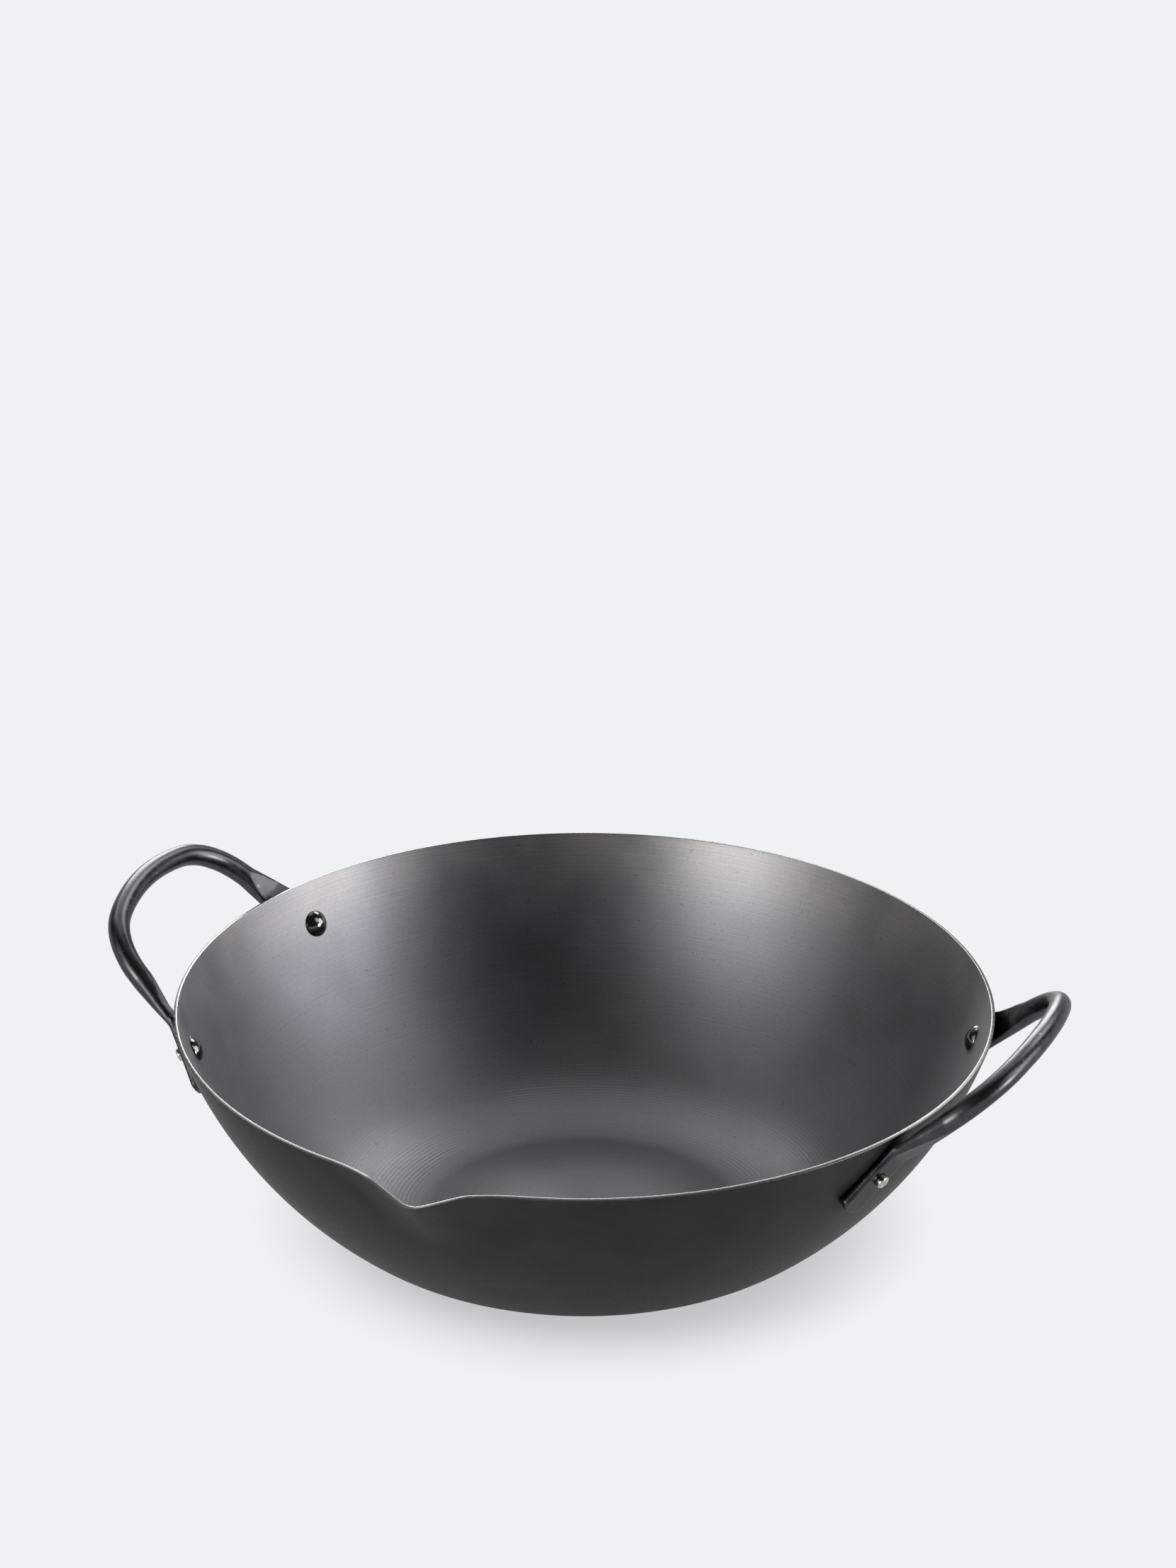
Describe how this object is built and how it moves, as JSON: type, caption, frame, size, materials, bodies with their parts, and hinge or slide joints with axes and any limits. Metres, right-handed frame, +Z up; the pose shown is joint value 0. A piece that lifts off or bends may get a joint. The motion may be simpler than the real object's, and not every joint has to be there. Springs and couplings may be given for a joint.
{
  "type": "carbon steel wok",
  "caption": "Round, flat-bottomed carbon steel wok with a pouring spout pressed into its rim and loop handles riveted to the outside of the wall, for stir-frying.",
  "frame": {"origin": "centre of the flat base's underside", "axes": "+Z up through the bowl's axis, +X towards the right handle, the spout towards -Y"},
  "size_m": [0.4, 0.343, 0.124],
  "materials": {
    "blued_steel": "satin, blued carbon steel with fine spinning lines inside",
    "black_steel": "satin black forged steel bar",
    "rivet_steel": "bright, nearly mirror-like"
  },
  "bodies": {
    "root": {"wok_body": "blued_steel", "right_handle": "black_steel", "left_handle": "black_steel", "right_rear_rivet": "rivet_steel", "right_front_rivet": "rivet_steel", "left_rear_rivet": "rivet_steel", "left_front_rivet": "rivet_steel"}
  },
  "joints": []
}
